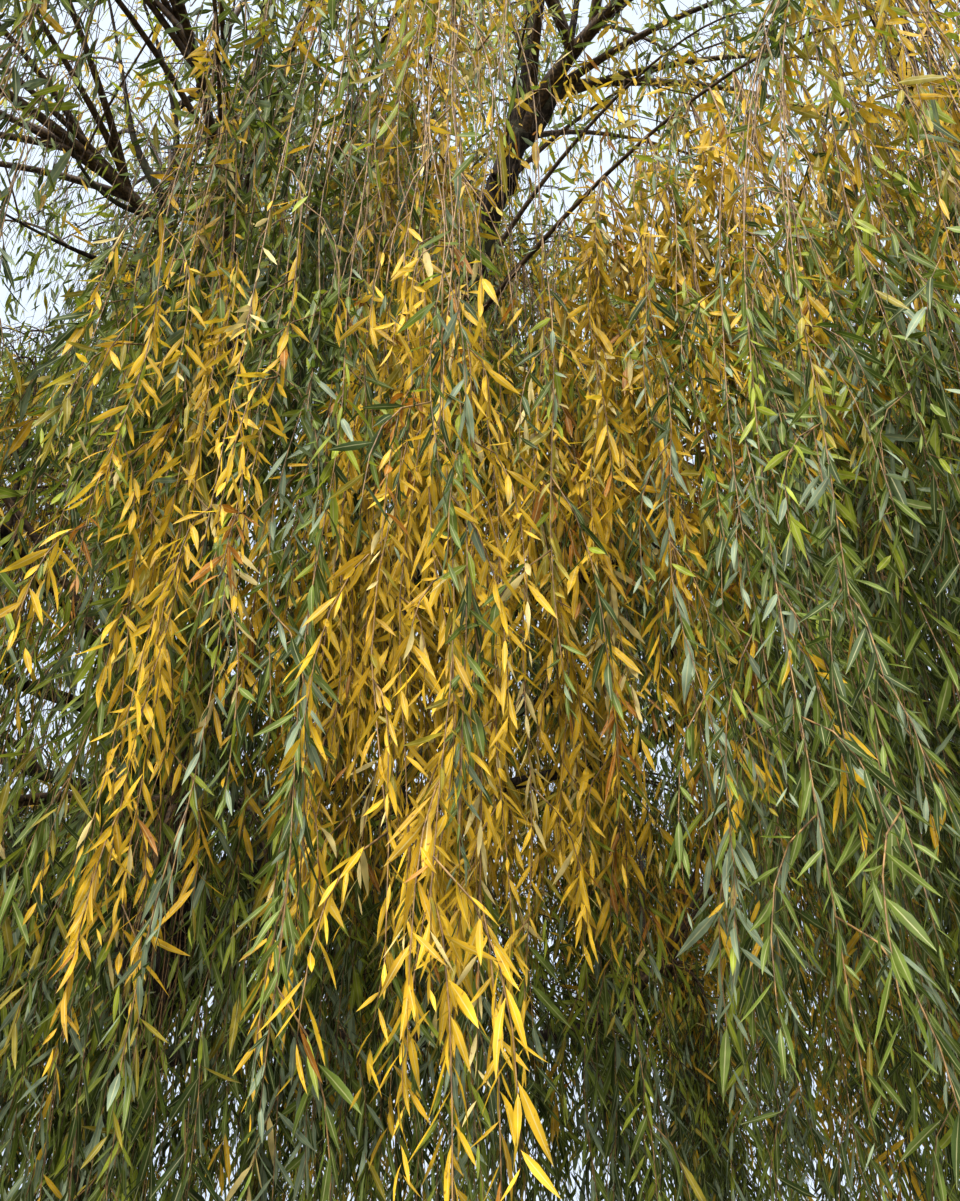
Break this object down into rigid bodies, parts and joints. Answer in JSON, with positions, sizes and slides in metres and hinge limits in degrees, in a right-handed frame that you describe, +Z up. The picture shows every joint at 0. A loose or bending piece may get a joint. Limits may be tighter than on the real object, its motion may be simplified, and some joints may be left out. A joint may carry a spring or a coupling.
{
  "type": "weeping willow tree",
  "caption": "Weeping willow in autumn leaf: a leaning trunk, forked limbs and curtains of hanging gold and green leaves, on a flat-cut base.",
  "frame": {"origin": "middle of the flat cut under the trunk, at ground level", "axes": "+Z up, -Y towards the side that the tree is seen from, +X to the right seen from there; the trunk's head and the crown lean to +X"},
  "size_m": [11.5245, 11.8994, 10.9985],
  "materials": {
    "bark": "rough furrowed bark",
    "gold_leaves": "dull, golden yellow",
    "green_leaves": "dull, grey-green"
  },
  "bodies": {
    "root": {"bough_crest_1": "bark", "bough_crest_2": "bark", "bough_crest_3": "bark", "bough_inner_1": "bark", "bough_inner_2": "bark", "bough_inner_3": "bark", "bough_inner_4": "bark", "bough_low": "bark", "bough_low_front": "bark", "bough_skirt_1": "bark", "bough_skirt_10": "bark", "bough_skirt_2": "bark", "bough_skirt_3": "bark", "bough_skirt_4": "bark", "bough_skirt_5": "bark", "bough_skirt_6": "bark", "bough_skirt_7": "bark", "bough_skirt_8": "bark", "bough_skirt_9": "bark", "foliage_back": "green_leaves", "foliage_crest_1": "green_leaves", "foliage_crest_2": "green_leaves", "foliage_crest_3": "green_leaves", "foliage_front_left": "gold_leaves", "foliage_front_right": "green_leaves", "foliage_inner_1": "gold_leaves", "foliage_inner_2": "green_leaves", "foliage_inner_3": "gold_leaves", "foliage_inner_4": "gold_leaves", "foliage_left": "gold_leaves", "foliage_low": "gold_leaves", "foliage_low_front": "gold_leaves", "foliage_right": "gold_leaves", "foliage_skirt_1": "gold_leaves", "foliage_skirt_10": "green_leaves", "foliage_skirt_2": "green_leaves", "foliage_skirt_3": "gold_leaves", "foliage_skirt_4": "green_leaves", "foliage_skirt_5": "green_leaves", "foliage_skirt_6": "green_leaves", "foliage_skirt_7": "gold_leaves", "foliage_skirt_8": "gold_leaves", "foliage_skirt_9": "gold_leaves", "leader_back": "bark", "leader_front_left": "bark", "leader_front_right": "bark", "leader_left": "bark", "leader_right": "bark", "trunk": "bark"}
  },
  "joints": []
}
